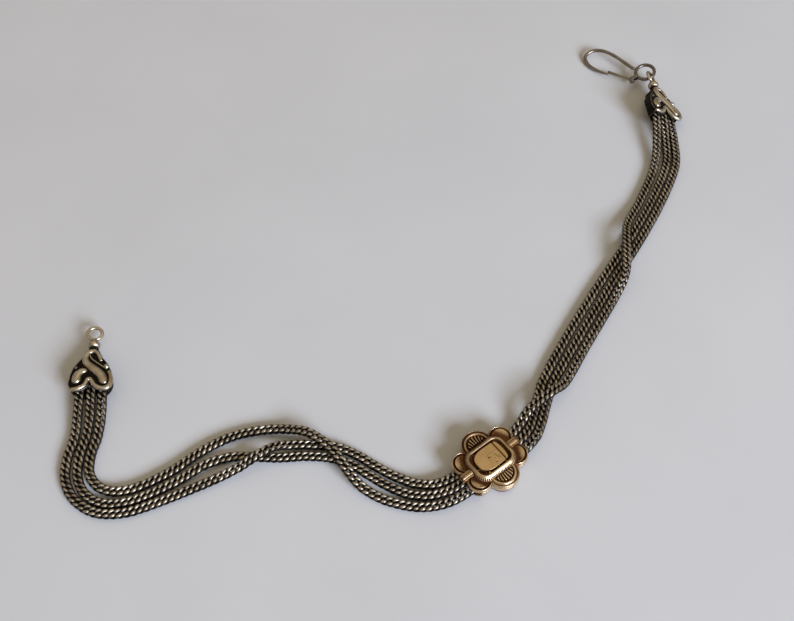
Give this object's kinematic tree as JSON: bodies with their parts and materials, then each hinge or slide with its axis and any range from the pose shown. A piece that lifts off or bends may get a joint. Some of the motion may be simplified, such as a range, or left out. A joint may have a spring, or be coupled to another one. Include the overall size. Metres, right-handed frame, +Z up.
{
  "type": "pocket watch chain",
  "caption": "Pocket watch chain of fine curb strands joining two scrolled swivel end caps, with a gilt rosette slide on the strands and a wire snap hook at one end.",
  "frame": {"origin": "centre of the slide's flat underside, on the surface the chain lies on", "axes": "+X along the slide's tunnel and its travel, +Z up from the surface, +Y towards the two end caps"},
  "size_m": [0.1919, 0.0921, 0.0071],
  "materials": {
    "strand_silver": "oxidised, worn bright on the links",
    "cap_oxide": "blackened recesses",
    "cap_highlight": "polished and worn",
    "swivel_silver": "polished and worn",
    "gilt": "warm gilt with brown tarnish in the recesses",
    "gilt_plaque": "satin gilt with fine scratches",
    "hook_steel": "dull drawn wire",
    "spring_steel": "blued, hidden"
  },
  "bodies": {
    "chain": {"strand_inner": "strand_silver", "strand_middle": "strand_silver", "strand_outer": "strand_silver", "cap_a_shell": "cap_oxide", "cap_a_bush": "cap_highlight", "cap_a_ribbon": "cap_highlight", "cap_a_curl": "cap_highlight", "cap_a_rim": "cap_highlight", "cap_a_inlay": "cap_highlight", "cap_a_beads": "cap_highlight", "cap_a_anchor": "cap_oxide", "cap_b_shell": "cap_oxide", "cap_b_bush": "cap_highlight", "cap_b_ribbon": "cap_highlight", "cap_b_curl": "cap_highlight", "cap_b_rim": "cap_highlight", "cap_b_inlay": "cap_highlight", "cap_b_beads": "cap_highlight", "cap_b_anchor": "cap_oxide"},
    "slide": {"slide_base": "gilt", "slide_band": "gilt", "slide_top": "gilt", "slide_petals": "gilt", "slide_fans": "gilt", "slide_bosses": "gilt", "slide_bezel": "gilt", "slide_plaque": "gilt_plaque", "slide_spring": "spring_steel"},
    "swivel_a": {"swivel_a_eye": "swivel_silver", "swivel_a_rivet": "swivel_silver"},
    "swivel_b": {"swivel_b_eye": "swivel_silver", "swivel_b_rivet": "swivel_silver"},
    "snap_hook": {"hook_ring": "hook_steel", "hook_wire": "hook_steel", "hook_fork": "hook_steel", "gate_pin": "hook_steel", "gate_spring": "spring_steel"},
    "gate": {"hook_gate": "hook_steel"}
  },
  "joints": [
    {"name": "slide_travel", "type": "slide", "parent": "chain", "child": "slide", "axis": [1, 0, 0], "range_m": [-0.0025, 0.0025]},
    {"name": "swivel_a_spin", "type": "hinge", "parent": "chain", "child": "swivel_a", "pos_m": [-0.05465, 0.07525, 0.0025], "axis": [0.5446, 0.8387, 0], "continuous": true},
    {"name": "swivel_b_spin", "type": "hinge", "parent": "chain", "child": "swivel_b", "pos_m": [0.10845, 0.05438, 0.0032], "axis": [0.5592, 0.829, 0], "continuous": true},
    {"name": "hook_swing", "type": "hinge", "parent": "swivel_b", "child": "snap_hook", "pos_m": [0.11365, 0.06295, 0.00375], "axis": [-0.2311, 0.052, 0.9715], "range_deg": [-45, 5]},
    {"name": "gate_open", "type": "hinge", "parent": "snap_hook", "child": "gate", "pos_m": [0.1091, 0.06453, 0.00225], "axis": [0.2311, -0.052, -0.9715], "range_deg": [0, 28], "stiffness_Nm_per_rad": 0.0008, "springref_deg": -20.05}
  ]
}
